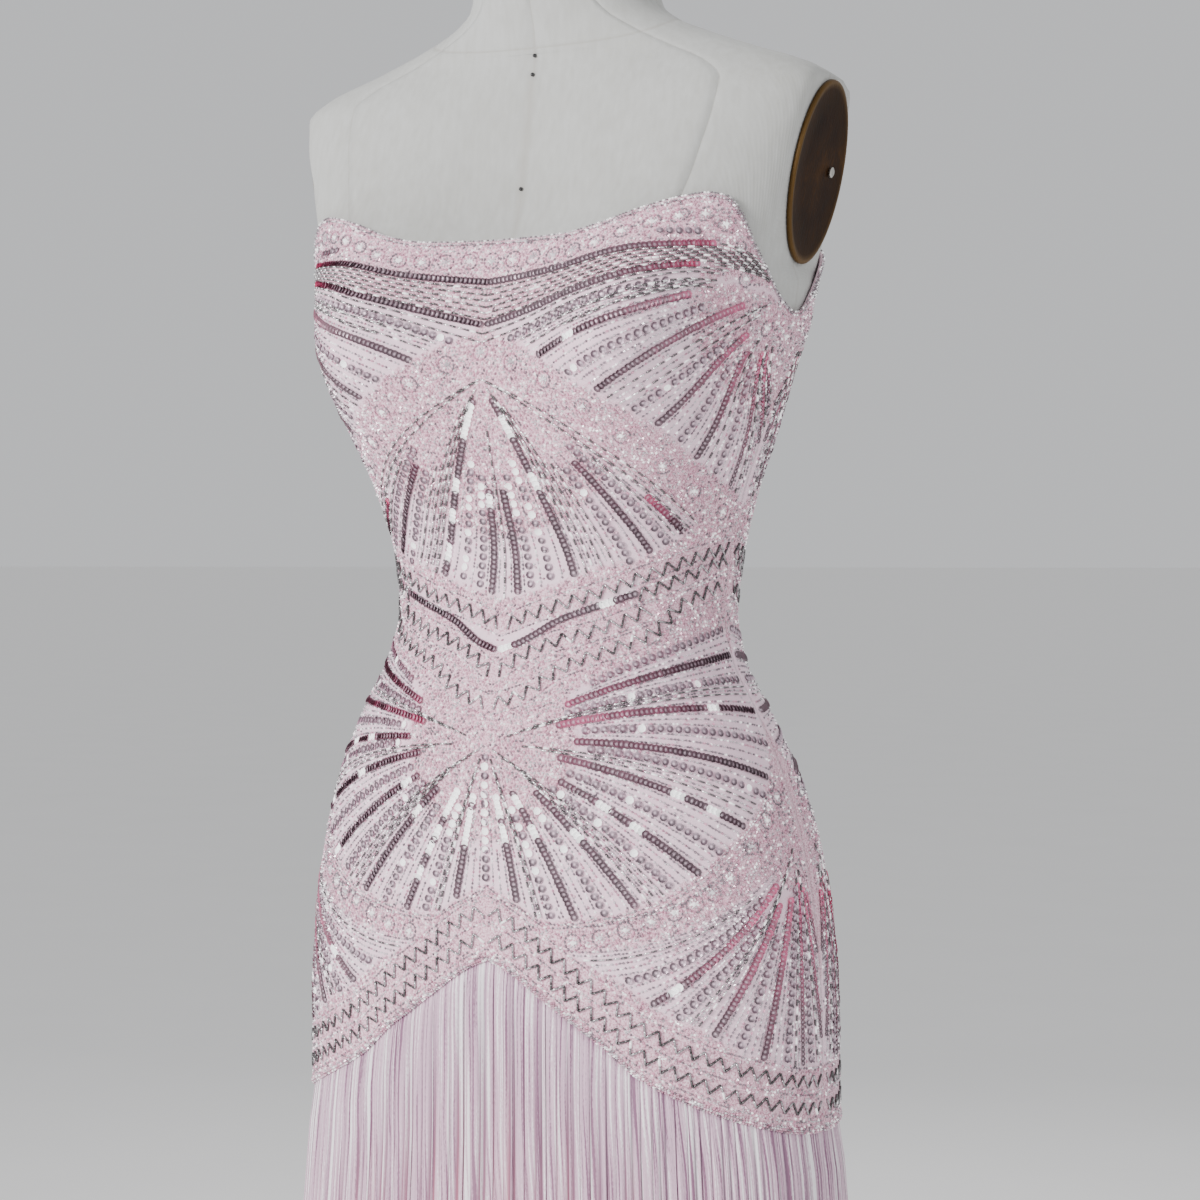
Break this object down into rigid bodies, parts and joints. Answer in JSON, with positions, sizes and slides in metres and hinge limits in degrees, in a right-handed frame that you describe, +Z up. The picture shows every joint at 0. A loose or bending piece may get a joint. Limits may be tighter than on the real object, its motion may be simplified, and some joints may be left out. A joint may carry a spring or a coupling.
{
  "type": "strapless evening gown on a limbless dress form",
  "caption": "Strapless evening gown with a beaded hip-length bodice and a pleated floor-length skirt, worn by a limbless dress form on a round-based stand.",
  "frame": {"origin": "on the floor, at the middle of the underside of the stand's base", "axes": "+Z up, -Y towards the front of the gown, +X towards the wearer's left"},
  "size_m": [0.5486, 0.4382, 1.465],
  "materials": {
    "beaded_satin": "pale pink satin ground sewn all over with sequins, bugles and seed beads",
    "pleated_satin": "pale lilac pink satin in fine irregular pleats, soft sheen",
    "form_linen": "off-white plain woven linen cover",
    "bronze_plate": "dark bronze, satin",
    "bright_steel": "bright",
    "dark_iron": "dark painted casting"
  },
  "bodies": {
    "gown_on_form": {"gown_front": "beaded_satin", "gown_back_left": "beaded_satin", "gown_back_right": "beaded_satin", "skirt_front": "pleated_satin", "skirt_back": "pleated_satin", "form_torso": "form_linen", "arm_plate_left": "bronze_plate", "arm_plate_right": "bronze_plate", "plate_screw_left": "bright_steel", "plate_screw_right": "bright_steel", "stand_pole": "bright_steel", "stand_base": "dark_iron", "zip_slider": "bright_steel"},
    "zip_pull": {"zip_pull": "bright_steel"}
  },
  "joints": [
    {"name": "pull_swing", "type": "hinge", "parent": "gown_on_form", "child": "zip_pull", "pos_m": [0, 0.09781, 1.2745], "axis": [1, 0, 0], "range_deg": [0, 150]}
  ]
}
